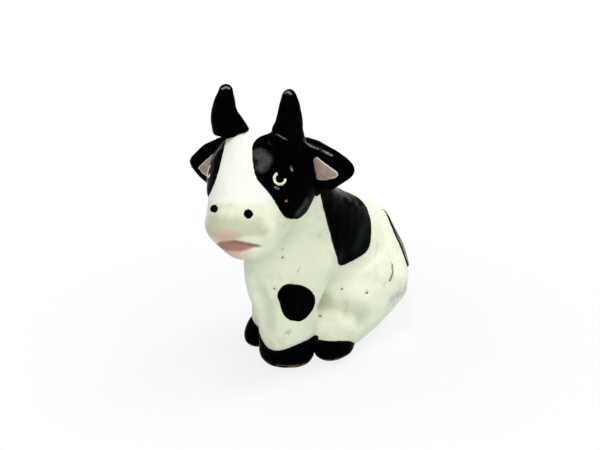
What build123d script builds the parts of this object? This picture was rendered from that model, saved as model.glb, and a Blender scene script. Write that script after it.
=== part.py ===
"""A small sitting cow of fired clay: lumps luted face to face, with raised patches of enamel.

Millimetres, +Z up. The origin is on the ground under the torso. The cow faces -Y and its left is +X.
"""

import os

from build123d import *

# Torso: a stack of oval slices on a flat underside, from the seat up to the neck
TORSO_HEIGHT = 20.5
TORSO_WIDTH = 11.2
TORSO_LENGTH = 20.4
# Height, setback, width and length of each slice
TORSO_SLICE_SHARES = (
    (0.00, 0.13, 0.64, 0.74),
    (0.10, 0.16, 0.84, 0.90),
    (0.26, 0.18, 1.00, 1.00),
    (0.42, 0.12, 1.00, 0.98),
    (0.56, 0.02, 0.98, 0.94),
    (0.68, -0.09, 0.94, 0.82),
    (0.80, -0.25, 0.86, 0.60),
    (0.91, -0.37, 0.76, 0.45),
    (1.00, -0.44, 0.66, 0.36),
)

# Forelegs and chest: one column in front of the torso, on a hoof with a wavy upper edge
LEGS_HEIGHT = 13.0
LEGS_WIDTH = 8.8
LEGS_LENGTH = 7.2
LEGS_FORWARD_SHARE = 0.36
# Height, setback, width and length of each slice
LEGS_SLICE_SHARES = (
    (0.00, 0.00, 0.57, 0.64),
    (0.12, 0.00, 0.61, 0.68),
    (0.27, 0.00, 0.65, 0.70),
    (0.52, -0.02, 0.83, 0.84),
    (0.75, -0.03, 0.98, 0.98),
    (0.90, 0.06, 0.94, 0.92),
    (1.00, 0.18, 0.80, 0.70),
)
FORE_HOOF_HEIGHT = 3.0
# Across and up along the hoof's upper edge
FORE_HOOF_EDGE_SHARES = ((-1.0, 1.35), (-0.6, 1.2), (-0.28, 0.8), (-0.02, 0.74), (0.4, 0.95), (1.0, 1.15))

# Haunches, lying along both sides of the torso
HAUNCH_WIDTH = 6.1
HAUNCH_LENGTH = 18.4
HAUNCH_HEIGHT = 9.6
HAUNCH_PITCH = 8
HAUNCH_OUT_SHARE = 0.325
HAUNCH_BACK_SHARE = 0.14

# Hind hooves under the front ends of the haunches
HIND_HOOF_WIDTH = 3.4
HIND_HOOF_LENGTH = 5.6
HIND_HOOF_HEIGHT = 4.0
HIND_HOOF_FORWARD_SHARE = 0.36
HIND_HOOF_RISE_SHARE = 0.33
HIND_HOOF_OUT_SHARES = {"left": 0.325, "right": 0.395}

# Tail down the rump, ending in a tuft
TAIL_THICK = 1.0
TUFT_THICK = 1.3
TUFT_WIDTH = 2.4
TUFT_HEIGHT = 3.2
# Across and up: the tail's outline and the tuft's middle
TAIL_SHARES = (
    (-0.07, 0.54),
    (0.07, 0.55),
    (0.06, 0.42),
    (-0.04, 0.31),
    (-0.17, 0.22),
    (-0.27, 0.25),
    (-0.16, 0.34),
    (-0.08, 0.43),
)
TUFT_AT_SHARES = (-0.24, 0.19)

# Head: a pear, turned to the cow's right and tilted, with its narrow end cut off as the muzzle
HEAD_LENGTH = 13.0
HEAD_WIDTH = 10.7
HEAD_HEIGHT = 9.5
HEAD_FORWARD = 2.4
HEAD_RISE = 0.3
HEAD_SHIFT = 0.4
HEAD_TURN = 5
HEAD_TILT = 5
HEAD_NOD = 44
# Along and out from the pear's axis, between its two ends
PEAR_SHARES = (
    (0.05, 0.58),
    (0.17, 0.89),
    (0.32, 1.00),
    (0.49, 0.95),
    (0.63, 0.83),
    (0.72, 0.77),
    (0.83, 0.71),
    (0.92, 0.56),
    (0.97, 0.36),
)
PEAR_MIDDLE_SHARE = 0.35
MUZZLE_CUT_SHARE = 0.66

# Lower lip under the muzzle
LIP_WIDTH = 6.0
LIP_LENGTH = 5.0
LIP_HEIGHT = 2.6
LIP_PITCH = 14
LIP_FORWARD_SHARE = 0.377
LIP_DROP_SHARE = 1.04

# Horns
HORN_LENGTH = 6.8
HORN_BASE = 3.8
HORN_TIP = 1.5
HORN_FORWARD_SHARE = 0.065
HORN_RISE_SHARE = 0.55
HORN_OUT_SHARES = {"left": 0.63, "right": 0.62}
HORN_LEAN_SHARES = {"left": 0.13, "right": -0.06}
HORN_BOW_SHARES = {"left": 0.02, "right": 0.06}
# Height and width of each slice below the round tip
HORN_SLICE_SHARES = ((0.00, 1.00), (0.35, 0.80), (0.70, 0.63))

# Ears
EAR_LENGTH = 5.3
EAR_HEIGHTS = {"left": 5.0, "right": 5.7}
EAR_THICK = 1.9
EAR_ROOT_SHARES = {"left": 0.75, "right": 0.84}
EAR_BACK_SHARE = 0.134
EAR_RISE_SHARES = {"left": 0.24, "right": 0.06}
# Distance out, height and thickness of each slice
EAR_SLICE_SHARES = (
    (0.00, 1.00, 1.00),
    (0.30, 0.96, 1.00),
    (0.60, 0.74, 0.85),
    (0.82, 0.46, 0.65),
    (0.95, 0.22, 0.42),
    (1.00, 0.07, 0.16),
)
# Out and up, round the pink lining's corners
LINING_SHARES = ((0.26, 0.31), (0.26, -0.20), (0.50, -0.20), (0.78, -0.08))
LINING_ROUND = 0.3

# Enamel
ENAMEL_THICK = 0.2
# Right and up, seen square to the patch
EYE_TURN = 50
EYE_LIFT = 15
EYE_PATCH_SHARES = {
    "left": (
        (-0.04, 0.82),
        (-0.28, 0.63),
        (-0.36, 0.29),
        (-0.35, 0.03),
        (-0.22, -0.23),
        (-0.08, -0.55),
        (0.08, -0.82),
        (0.28, -0.88),
        (0.54, -0.78),
        (0.71, -0.48),
        (0.82, -0.06),
        (0.62, 0.53),
        (0.34, 0.78),
    ),
    "right": (
        (-0.04, 0.82),
        (-0.28, 0.55),
        (-0.45, 0.25),
        (-0.58, -0.06),
        (-0.58, -0.36),
        (-0.43, -0.61),
        (-0.15, -0.82),
        (0.22, -0.88),
        (0.54, -0.78),
        (0.71, -0.48),
        (0.82, -0.06),
        (0.62, 0.53),
        (0.34, 0.78),
    ),
}
EYE_RING_RADIUS = 0.54
EYE_LINE = 0.28
EYE_RING_START = 105
EYE_RING_SWEEP = 245
EYE_AT_SHARES = (0.03, -0.03)

NOSTRIL_DIAMETER = 0.9
NOSTRIL_LIFT = 40
NOSTRIL_AT_SHARES = ((-0.24, -1.10), (0.39, -1.10))

CHEST_SPOT_TURN = 35
CHEST_SPOT_SHARES = (
    (-0.27, 0.72),
    (-0.03, 0.765),
    (0.28, 0.745),
    (0.55, 0.61),
    (0.46, 0.50),
    (0.19, 0.435),
    (-0.09, 0.49),
    (-0.22, 0.58),
)

SHOULDER_TURN = 90
SHOULDER_ROUND = 0.9
SHOULDER_SHARES = ((-0.46, 0.92), (-0.23, 0.49), (0.005, 0.515), (0.04, 0.60), (0.09, 0.74), (-0.15, 0.88))

RUMP_TURN = 120
RUMP_SHARES = (
    (0.30, 0.52),
    (0.245, 0.37),
    (0.28, 0.28),
    (0.38, 0.26),
    (0.45, 0.36),
    (0.43, 0.47),
    (0.36, 0.53),
)

FLANK_TURN = -90
FLANK_SHARES = (
    (-0.20, 0.56),
    (-0.06, 0.50),
    (0.12, 0.53),
    (0.23, 0.65),
    (0.14, 0.75),
    (-0.02, 0.70),
    (-0.14, 0.65),
)

SIDES = {"left": 1, "right": -1}
# Every cut runs this far past the cow
OVERRUN = 60.0


def lump(width, length, height):
    return scale(Sphere(1), by=(width / 2, length / 2, height / 2))


def facing(turn, lift=0):
    """An upright sketch plane, seen from that many degrees round the cow's front and above the level."""
    return Rot(0, 0, turn) * Rot(90 - lift, 0, 0)


def spread(shares, across, up, side):
    """Shares as points, mirrored on the cow's right and still in the same turning direction."""
    return [(side * across * x, up * y) for x, y in shares][::side]


def blob(shares, across, up, side=1):
    return make_face(Spline(*spread(shares, across, up, side), periodic=True))


def card(shares, across, up, rounding, side=1):
    outline = Polygon(*spread(shares, across, up, side), align=None)
    return fillet(outline.vertices(), rounding)


def beyond(place):
    """All that lies in front of a sketch plane."""
    return place * Pos(0, 0, OVERRUN / 2) * Box(OVERRUN, OVERRUN, OVERRUN)


def luted(piece, *larger):
    """A piece cut to fit against the larger ones that it is pressed on."""
    for other in larger:
        piece = piece - other
    return max(piece.solids(), key=lambda solid: solid.volume)


def film(sketch, grown, *carriers):
    """A layer as thick as the carrier has grown, under the outline of a sketch."""
    return luted(extrude(sketch, amount=OVERRUN) & grown, *carriers)


def torso(grow=0):
    slices = []
    for up, back, wide, long in TORSO_SLICE_SHARES:
        oval = Ellipse(TORSO_WIDTH * wide / 2 + grow, TORSO_LENGTH * long / 2 + grow)
        slices.append(Pos(0, TORSO_LENGTH * back, TORSO_HEIGHT * up) * oval)
    return loft(slices)


def legs_place():
    return Pos(0, -TORSO_LENGTH * LEGS_FORWARD_SHARE, 0)


def forelegs(grow=0):
    slices = []
    for up, back, wide, long in LEGS_SLICE_SHARES:
        oval = Ellipse(LEGS_WIDTH * wide / 2 + grow, LEGS_LENGTH * long / 2 + grow)
        slices.append(Pos(0, LEGS_LENGTH * back, LEGS_HEIGHT * up) * oval)
    return legs_place() * loft(slices)


def fore_hoof_cut():
    """All that lies under the fore hoof's wavy upper edge."""
    edge = spread(FORE_HOOF_EDGE_SHARES, LEGS_WIDTH / 2, FORE_HOOF_HEIGHT, 1)
    (first, _), (last, _) = edge[0], edge[-1]
    under = Polyline(edge[-1], (last, -OVERRUN), (first, -OVERRUN), edge[0])
    return extrude(facing(0) * make_face([Spline(*edge), under]), amount=OVERRUN)


def haunch(side, grow=0):
    out, back = TORSO_WIDTH * HAUNCH_OUT_SHARE, TORSO_LENGTH * HAUNCH_BACK_SHARE
    size = (HAUNCH_WIDTH + 2 * grow, HAUNCH_LENGTH + 2 * grow, HAUNCH_HEIGHT + 2 * grow)
    whole = Pos(side * out, back, HAUNCH_HEIGHT / 2) * Rot(HAUNCH_PITCH, 0, 0) * lump(*size)
    return whole & beyond(Pos(0, 0, 0))


def hind_hoof(word):
    out = SIDES[word] * TORSO_WIDTH * HIND_HOOF_OUT_SHARES[word]
    back = TORSO_LENGTH * HAUNCH_BACK_SHARE - HAUNCH_LENGTH * HIND_HOOF_FORWARD_SHARE
    whole = lump(HIND_HOOF_WIDTH, HIND_HOOF_LENGTH, HIND_HOOF_HEIGHT)
    return Pos(out, back, HIND_HOOF_HEIGHT * HIND_HOOF_RISE_SHARE) * whole & beyond(Pos(0, 0, 0))


def head_place():
    """The head's middle, set on the neck, turned and tilted."""
    neck = Pos(0, TORSO_LENGTH * TORSO_SLICE_SHARES[-1][1], TORSO_HEIGHT)
    return neck * Pos(-HEAD_SHIFT, -HEAD_FORWARD, HEAD_RISE) * Rot(0, 0, -HEAD_TURN) * Rot(0, -HEAD_TILT, 0)


def pear(grow=0):
    """The head together with its muzzle."""
    back, front = (0, PEAR_MIDDLE_SHARE), (0, PEAR_MIDDLE_SHARE - 1)
    side = [(out, PEAR_MIDDLE_SHARE - along) for along, out in PEAR_SHARES]
    profile = make_face([Spline(back, *side, front, tangents=((1, 0), (-1, 0))), Line(front, back)])
    size = (HEAD_WIDTH / 2 + grow, HEAD_LENGTH + 2 * grow, HEAD_HEIGHT / 2 + grow)
    return head_place() * Rot(HEAD_NOD, 0, 0) * scale(revolve(profile, Axis.Y), by=size)


def muzzle_cut():
    ahead = HEAD_LENGTH * (PEAR_MIDDLE_SHARE - MUZZLE_CUT_SHARE)
    return beyond(head_place() * Rot(HEAD_NOD, 0, 0) * Pos(0, ahead, 0) * facing(0))


def lower_lip():
    at = Pos(0, -HEAD_LENGTH * LIP_FORWARD_SHARE, -HEAD_HEIGHT / 2 * LIP_DROP_SHARE)
    return head_place() * at * Rot(LIP_PITCH, 0, 0) * lump(LIP_WIDTH, LIP_LENGTH, LIP_HEIGHT)


def horn(word):
    """Slices that lean and bow outwards, closed by a ball."""
    out, lean = HEAD_WIDTH / 2 * HORN_OUT_SHARES[word], HORN_LENGTH * HORN_LEAN_SHARES[word]
    bow, rise = HORN_LENGTH * HORN_BOW_SHARES[word], HORN_LENGTH - HORN_TIP / 2
    root = Pos(SIDES[word] * out, -HEAD_LENGTH * HORN_FORWARD_SHARE, HEAD_HEIGHT / 2 * HORN_RISE_SHARE)
    slices = []
    for up, wide in HORN_SLICE_SHARES:
        aside = lean * up + bow * 4 * up * (1 - up)
        slices.append(Pos(SIDES[word] * aside, 0, rise * up) * Circle(HORN_BASE / 2 * wide))
    top = Pos(SIDES[word] * lean, 0, rise)
    slices.append(top * Circle(HORN_TIP / 2))
    return head_place() * root * (loft(slices) + top * Sphere(HORN_TIP / 2))


def ear_place(word):
    out, back = HEAD_WIDTH / 2 * EAR_ROOT_SHARES[word], HEAD_LENGTH * EAR_BACK_SHARE
    return head_place() * Pos(SIDES[word] * out, back, HEAD_HEIGHT / 2 * EAR_RISE_SHARES[word])


def ear(word, grow=0):
    slices = []
    for out, high, thick in EAR_SLICE_SHARES:
        oval = Ellipse(EAR_HEIGHTS[word] / 2 * high + grow, EAR_THICK / 2 * thick + grow)
        slices.append(Pos(SIDES[word] * (EAR_LENGTH + grow) * out, 0, 0) * Rot(0, 90, 0) * oval)
    return ear_place(word) * loft(slices)


def eye_ring(side):
    across, up = EYE_AT_SHARES
    middle = (side * HEAD_WIDTH / 2 * across, HEAD_HEIGHT / 2 * up)
    return trace(CenterArc(middle, EYE_RING_RADIUS, EYE_RING_START, EYE_RING_SWEEP), EYE_LINE)


def nostril(across, up):
    at = Pos(HEAD_WIDTH / 2 * across, HEAD_HEIGHT / 2 * up)
    return head_place() * facing(0, NOSTRIL_LIFT) * at * Circle(NOSTRIL_DIAMETER / 2)


def tuft():
    across, up = TUFT_AT_SHARES
    return Pos(TORSO_WIDTH * across, TORSO_HEIGHT * up) * Ellipse(TUFT_WIDTH / 2, TUFT_HEIGHT / 2)


body = torso()
skull = pear()
legs = forelegs()
lip = lower_lip()
haunches = {word: haunch(side) for word, side in SIDES.items()}
enamelled_head = pear(ENAMEL_THICK)
enamelled_torso = torso(ENAMEL_THICK)

pieces = {
    "torso": body,
    "forelegs": luted(legs, body, fore_hoof_cut()),
    "fore_hoof": luted(legs & fore_hoof_cut(), body),
    "head": luted(skull, body, muzzle_cut()),
    "muzzle": luted(skull & muzzle_cut(), body),
    "lower_lip": luted(lip, skull, body),
    "chest_spot": film(
        legs_place() * facing(CHEST_SPOT_TURN) * blob(CHEST_SPOT_SHARES, LEGS_WIDTH / 2, LEGS_HEIGHT),
        forelegs(ENAMEL_THICK),
        legs,
        body,
    ),
    "nostrils": Compound([film(nostril(*at), enamelled_head, skull) for at in NOSTRIL_AT_SHARES]),
    "tail": film(
        facing(180) * blob(TAIL_SHARES, TORSO_WIDTH, TORSO_HEIGHT),
        torso(TAIL_THICK),
        body,
        *haunches.values(),
    ),
}
pieces["tail_tuft"] = film(
    facing(180) * tuft(),
    torso(TUFT_THICK),
    body,
    *haunches.values(),
    pieces["tail"],
)

for word, side in SIDES.items():
    pieces[f"{word}_haunch"] = luted(haunches[word], body, legs)
    pieces[f"{word}_hind_hoof"] = luted(hind_hoof(word), body, legs, haunches[word])
    pieces[f"{word}_horn"] = luted(horn(word), skull)
    pieces[f"{word}_ear"] = luted(ear(word), skull, pieces[f"{word}_horn"])
    pieces[f"{word}_ear_lining"] = film(
        ear_place(word) * facing(0) * card(LINING_SHARES, EAR_LENGTH, EAR_HEIGHTS[word], LINING_ROUND, side),
        ear(word, ENAMEL_THICK),
        ear(word),
        skull,
    )
    eye_view = head_place() * facing(side * EYE_TURN, EYE_LIFT)
    pieces[f"{word}_eye_patch"] = film(
        eye_view * blob(EYE_PATCH_SHARES[word], HEAD_WIDTH / 2, HEAD_HEIGHT / 2, side),
        enamelled_head,
        skull,
        body,
        horn(word),
        ear(word, ENAMEL_THICK),
        lip,
    )
    pieces[f"{word}_eye_ring"] = film(eye_view * eye_ring(side), pear(2 * ENAMEL_THICK), enamelled_head)

pieces["shoulder_patch"] = film(
    facing(SHOULDER_TURN) * card(SHOULDER_SHARES, TORSO_LENGTH, TORSO_HEIGHT, SHOULDER_ROUND),
    enamelled_torso + forelegs(ENAMEL_THICK),
    body,
    haunches["left"],
    legs,
    skull,
)
pieces["rump_patch"] = film(
    facing(RUMP_TURN) * blob(RUMP_SHARES, TORSO_LENGTH, TORSO_HEIGHT),
    enamelled_torso + haunch(SIDES["left"], ENAMEL_THICK),
    body,
    haunches["left"],
    pieces["tail"],
)
pieces["flank_patch"] = film(
    facing(FLANK_TURN) * blob(FLANK_SHARES, TORSO_LENGTH, TORSO_HEIGHT),
    enamelled_torso,
    body,
    haunches["right"],
    legs,
)

os.makedirs("parts", exist_ok=True)
for name, piece in pieces.items():
    export_step(piece, f"parts/{name}.step")
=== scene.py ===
import math
from typing import NamedTuple

import bpy
import numpy as np
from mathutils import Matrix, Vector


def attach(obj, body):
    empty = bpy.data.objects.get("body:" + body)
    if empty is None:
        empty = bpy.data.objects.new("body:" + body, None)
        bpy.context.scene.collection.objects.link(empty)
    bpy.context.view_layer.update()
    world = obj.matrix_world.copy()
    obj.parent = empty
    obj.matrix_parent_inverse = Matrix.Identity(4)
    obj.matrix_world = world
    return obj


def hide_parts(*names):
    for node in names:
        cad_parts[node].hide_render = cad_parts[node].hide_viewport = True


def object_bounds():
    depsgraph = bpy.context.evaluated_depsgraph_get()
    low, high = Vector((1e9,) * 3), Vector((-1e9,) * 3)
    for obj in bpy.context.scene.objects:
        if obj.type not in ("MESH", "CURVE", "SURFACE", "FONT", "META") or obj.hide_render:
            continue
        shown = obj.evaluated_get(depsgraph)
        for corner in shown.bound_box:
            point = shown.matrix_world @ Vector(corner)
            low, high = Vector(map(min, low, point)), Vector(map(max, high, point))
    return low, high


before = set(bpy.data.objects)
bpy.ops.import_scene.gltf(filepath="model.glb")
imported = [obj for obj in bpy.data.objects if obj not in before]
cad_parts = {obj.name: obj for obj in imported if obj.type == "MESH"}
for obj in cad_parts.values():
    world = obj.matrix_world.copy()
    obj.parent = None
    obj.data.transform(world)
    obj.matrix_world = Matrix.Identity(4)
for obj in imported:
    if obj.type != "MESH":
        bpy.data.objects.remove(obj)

import openvdb as vdb
from mathutils import Vector
from mathutils.bvhtree import BVHTree

# The sculpt works in millimetres on one grid of distances round the CAD box
MM = 0.001
VOXEL = 0.15
REACH = 4.0
MARGIN = 0.9
CAD_LOW, CAD_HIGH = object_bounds()
BOX_LOW = np.array(CAD_LOW) / MM
BOX_HIGH = np.array(CAD_HIGH) / MM
GRID_LOW = np.floor((BOX_LOW - MARGIN) / VOXEL).astype(int)
GRID_HIGH = np.ceil((BOX_HIGH + MARGIN) / VOXEL).astype(int)
GRID_SHAPE = tuple(int(n) for n in GRID_HIGH - GRID_LOW + 1)
GRID_CORNER = tuple(int(n) for n in GRID_LOW)
GRID_MAP = vdb.createLinearTransform(voxelSize=VOXEL)
AXES = [(np.arange(GRID_SHAPE[a]) + GRID_LOW[a]) * VOXEL for a in range(3)]
X = AXES[0][:, None, None].astype(np.float32)
Y = AXES[1][None, :, None].astype(np.float32)
Z = AXES[2][None, None, :].astype(np.float32)
WORM_ROOM = 2.0
BLUR_REACH = 2.5

SIDES = ("left", "right")
WHITE_NODES = ("torso", "forelegs", "left_haunch", "right_haunch", "tail", "head", "muzzle", "lower_lip")
BLACK_NODES = ("fore_hoof", "left_hind_hoof", "right_hind_hoof", "tail_tuft")
DARK_NODES = ("left_horn", "right_horn", "left_ear", "right_ear")
CLAY_NODES = WHITE_NODES + BLACK_NODES + DARK_NODES

# Camera at the photograph's angle, and the photograph's frame
VIEW_TURN = math.radians(27)
VIEW_LIFT = math.radians(20)
VIEW_AIM = np.array((0, -4.4, 13.8))
VIEW_DISTANCE = 220.0
VIEW_SEARCH = 30
PHOTO_WIDTH, PHOTO_HEIGHT = 600, 450
PIXELS_PER_MM = 10.0
SENSOR = 36.0
CLIP_START = 0.01
VIEW_BACK = np.array((
    math.sin(VIEW_TURN) * math.cos(VIEW_LIFT),
    -math.cos(VIEW_TURN) * math.cos(VIEW_LIFT),
    math.sin(VIEW_LIFT),
))
VIEW_RIGHT = np.array((math.cos(VIEW_TURN), math.sin(VIEW_TURN), 0))
VIEW_UP = np.cross(VIEW_BACK, VIEW_RIGHT)
VIEW_EYE = VIEW_AIM + VIEW_DISTANCE * VIEW_BACK

# How far two lumps of clay melt into each other
MELT_CHEST = 2.8
MELT_VALLEY = 0.9
VALLEY_RISE = (7.0, 12.0)
MELT_HAUNCH = 2.4
MELT_HOOF = 0.4
MELT_TAIL = 0.5
MELT_LIP = 0.7
MELT_NECK = 1.7
MELT_HORN = {"left": 1.6, "right": 1.1}
MELT_EAR = 0.9
SOFTEN = 0.17
FOOT_ROUND = 0.4
FOOT_HIGH = 1.2

# The hand's unevenness, as the length, height and turn of waves
UNEVEN = ((7.0, 0.07, 0.4), (3.1, 0.045, 1.3), (1.7, 0.02, 2.2))

# A piece runs on under its neighbour past their seam, sinking as it goes
SEAM_OVERLAP = 0.42
SEAM_SINK = 3.0

# Films of paint: their thickness and rounded edge, and how they end at other pieces
PAINT_THICK = 0.09
PAINT_ROUND = 0.3
ENAMEL_THICK = 0.15
ENAMEL_ROUND = 0.3
ROOT_FADE = (2.4, 1.0)
JOIN_NEAR = 0.4
JOIN_FADE = (-0.45, -0.05)
EDGE_ROUND = 0.3
FILM_ROOM = 1.6
FILM_SINK = 0.14
SKIRT_WIDTH = 0.25
SKIRT_SLOPE = 0.25
WALL_LEAN = 0.6
RIM_SLACK = 0.03
LEAST_TURN = 0.35
TURN_BLEND = (0.15, 0.6)
FILL_HIDDEN = (0.05, -0.35)
EYE_LINE = {"thick": 0.06, "rounding": 0.12, "trim": 0.035}
LINING = {"thick": 0.06, "rounding": 0.2}
DOT = {"thick": 0.05, "rounding": 0.2}


class Mark(NamedTuple):
    """A round tool's line of pixels and radius, its groove's or ridge's depth, and how soft its rim is."""

    pixels: tuple
    radius: float
    depth: float
    soft: float


# Each horn's foot has a ragged flare, where its clay was smeared on, and ends in a line on its front
FLARES = {
    "left": ((2.7, -12.6, 26.9), (1.75, -12.95, 26.38)),
    "right": ((-3.1, -12.1, 27.6), (-2.6, -12.2, 26.65), (-2.2, -12.25, 26.1)),
}
FLARE_RADIUS = 0.26
FLARE_MELT = 0.5
HORN_FEET = {"left": ((271, 131), (301, 150)), "right": ((228, 132), (247, 129))}
HORN_FOOT_ROUND = {"left": 0.9, "right": 0.3}
RIGHT_HORN_EDGE = ((208.5, 118), (215, 140))
RIGHT_HORN_ROUND = 0.6

# The body's outline: straight cuts along lines of the photograph, and swellings
RUMP_FULL = Mark(((389, 218), (394, 229), (398, 239)), radius=2.5, depth=0.5, soft=2.0)
RUMP_CORNER = Mark(((402, 277), (403, 285)), radius=2.0, depth=0.35, soft=1.4)
RUMP_EDGE = ((395, 226), (406.5, 253))
RUMP_ROUND = 1.2
RUMP_LEAN = 0.13
RUMP_HINGE = -13.0
BASE_EDGE = ((411, 292.5), (355, 347))
BASE_ROUND = 0.6
CHIN_EDGE = ((208, 240), (229, 258))
CHIN_ROUND = 0.9

# The cup of each ear, pressed out round its lining
EAR_CUP_ROOM = 0.22
EAR_CUP_ROUND = 0.3

# Marks in the clay
FOOT_CREASE = Mark(
    ((323, 302), (333, 306), (343, 309), (353, 313), (362, 319)), radius=1.3, depth=0.36, soft=1.0
)
FOOT_TOP = Mark(((330, 318), (339, 322), (348, 328)), radius=1.5, depth=0.16, soft=0.9)
RIGHT_CREASE = Mark(((258, 294), (263, 303), (266, 311), (265, 322)), radius=1.1, depth=0.4, soft=0.8)
EAR_FOLD = Mark(((308, 143), (322, 149.5), (335, 157), (345, 166)), radius=0.3, depth=0.14, soft=0.14)
NOSTRIL_PLACES = ((214, 208.8), (248.4, 214))
NOSTRIL_SIZES = (0.38, 0.45)
NOSTRIL_PITS = tuple(Mark((place,), radius=0.46, depth=0.3, soft=0.16) for place in NOSTRIL_PLACES)
SCRATCH = Mark(((392, 264), (393, 273), (390, 280.5)), radius=0.14, depth=0.15, soft=0.08)
SCRATCH_TAIL = Mark(((390, 280.5), (386, 285)), radius=0.1, depth=0.07, soft=0.06)
BACK_CREASE = Mark(((375.5, 259.5), (378, 246)), radius=0.25, depth=0.08, soft=0.15)
CHEST_NICK = Mark(((298, 272), (300, 268)), radius=0.13, depth=0.12, soft=0.06)
PIT_PLACES = ((282.5, 257.5), (274.5, 288.5), (342, 289), (367, 293), (320, 316))
PITS = tuple(Mark((place,), radius=0.2, depth=0.2, soft=0.08) for place in PIT_PLACES)

# Marks in the paint, each a line of pixels and its half width. Beside old marks, they place painted shade
# under the rump and along the foot crease, painted sheens on the black patches and painted glints on ridges
# and tips
PIT_INK = 0.17
DARK_MARKS = (
    (SCRATCH.pixels, 0.13),
    (CHEST_NICK.pixels, 0.1),
    *(((place,), PIT_INK) for place in PIT_PLACES),
)
FAINT_MARKS = (
    (SCRATCH_TAIL.pixels, 0.1),
    (BACK_CREASE.pixels, 0.08),
    (((284, 337), (289, 331)), 0.22),
    (((282, 240), (283, 249)), 0.14),
)
# Painted lavender shade under the overhanging rump
RUMP_SHADE = ((((391, 301), (398, 295), (405, 289)), 0.2),)
# Painted shade along the crease above the hind foot
CREASE_SHADE = ((FOOT_CREASE.pixels, 0.0),)
CHIP = ((((285.5, 200.5),), 0.0),)
# Painted reflections: grey sheens on the left eye patch
PATCH_SHEENS = ((((259, 155), (266, 160), (262, 167)), 0.55), (((297, 212), (305, 201)), 0.32))
GREEN_SHEEN = ((((355, 247), (362, 228)), 0.2),)
# Painted glints along the ear ridge, the horns' feet and tips, and by the eye
GLINT_WIDTH = 0.04
GLINT_LINES = (
    ((304, 139.5), (309, 145), (321, 150), (332, 155.5)),
    ((270.5, 131.5), (278, 135), (287, 140.5)),
    ((224, 146), (219, 152), (214, 160)),
    ((222, 89), (226, 87), (230, 88.5)),
    ((285, 93), (288, 91.5), (291, 94)),
    ((290.5, 167), (291.5, 171)),
    ((275, 187.5), (278, 189)),
)
GLINT_EDGES = tuple((pixels, GLINT_WIDTH) for pixels in GLINT_LINES)

# How far the clay is smoothed to find its hollows and its wide valleys, which get painted shade
HOLLOW_SPREAD = 0.7
VALLEY_SPREAD = 1.7

# Edges and corners of the black patches, at pixels of the photograph, and how often each is evened out
RIGHT_PATCH_EDGE = ((206, 201), (216.5, 181), (222, 161), (226, 144), (228, 128))
RIGHT_PATCH_TOP = ((213, 147), (212, 129), (228, 131), (228.5, 136.5), (225.5, 149))
SHOULDER_EDGE = ((319.5, 193), (338, 263.5))
SHOULDER_CORNER = ((318.5, 209), (317.5, 188), (340, 182))
RUMP_PATCH_GROWTH = 0.15
SPOT_OUTLINE = (
    (279, 300), (278.6, 290), (284, 284.5), (292, 283.5), (303, 287), (314, 295),
    (315, 301), (309, 313), (302, 320), (296, 321.5), (288, 320), (281.5, 312),
)
PATCHES = {
    "chest_spot": {"corner": SPOT_OUTLINE, "even": 20},
    "shoulder_patch": {"corner": SHOULDER_CORNER, "edge": SHOULDER_EDGE, "even": 120},
    "rump_patch": {"trim": -RUMP_PATCH_GROWTH, "even": 60},
    "flank_patch": {"even": 20},
}
EYE_PATCHES = {
    "left": {"even": 20},
    "right": {"corner": RIGHT_PATCH_TOP, "edge": RIGHT_PATCH_EDGE, "even": 20},
}

# The mouth, between the lip's two ends
LIP_ENDS = ((216.5, 243.5), (263, 246))
MOUTH_OPEN, MOUTH_WIDTH = 0.13, 0.26
MOUTH_BOW = 0.3
MOUTH_FADE = (1.1, 0.8)
LIP_ROLL, LIP_ROLL_WIDTH = 0.06, 0.4
LIP_ROLL_PLACE = 0.7
FACE_DEPTH = (-15.6, -16.6)

# The face's colours, at pixels of the photograph, but in millimetres where the name says NEAR or DEPTH.
# Each pair of numbers is where a colour starts and where it is full
ROSE_TOP = ((216, 244), (220, 241.5), (235, 240.3), (243, 242), (253, 243.7), (264, 246))
ROSE_BOTTOM = (
    (216, 244.5), (220, 248.3), (226, 251), (240, 252.2), (248.5, 249.4), (255, 247), (264, 246),
)
ROSE_TOP_SOFT, ROSE_BOTTOM_SOFT = 1, 1.6
ROSE_LEFT, ROSE_RIGHT = (214, 219), (265, 258)
ROSE_NEAR = (1.2, 0.5)
# Painted shade where the lips part, darker brown at the top of the rose
PARTING_START, PARTING_FULL = 4, 1
PARTING_LEFT, PARTING_SHARE = (226, 236), 0.8
BLUSH_PLACE, BLUSH_SIZE, BLUSH_FADE = (226, 236), (18, 9), (1.15, 0.3)
CHIN_START, CHIN_FULL = -2, 1
CHIN_LEFT, CHIN_RIGHT, CHIN_LOW = (212, 219), (258, 240), (263, 256)
# Painted shade on the muzzle's front, below the nostrils
SHADE_TOP, SHADE_TOP_SHARE = (198, 207), 0.35
SHADE_MIDDLE, SHADE_MIDDLE_SHARE = (211, 224), 0.65
SHADE_LOW, SHADE_LEFT, SHADE_RIGHT = (241, 232), (203, 209), (276, 254)
# Painted highlight: whiter paint on the forehead and snout top
HIGHLIGHT_LOW, HIGHLIGHT_NEAR, HIGHLIGHT_DEPTH = (207, 197), (1.5, 0.5), (-9.0, -10.5)

# Colours of the paints, in linear light
# The second white is a painted highlight, and the olive colour below it is painted shade
CREAM_WHITE, HIGHLIGHT_WHITE = (0.86, 0.86, 0.69), (0.87, 0.87, 0.80)
OLIVE_SHADE, BRUSHED_WHITE = (0.55, 0.575, 0.395), (0.70, 0.71, 0.54)
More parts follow.
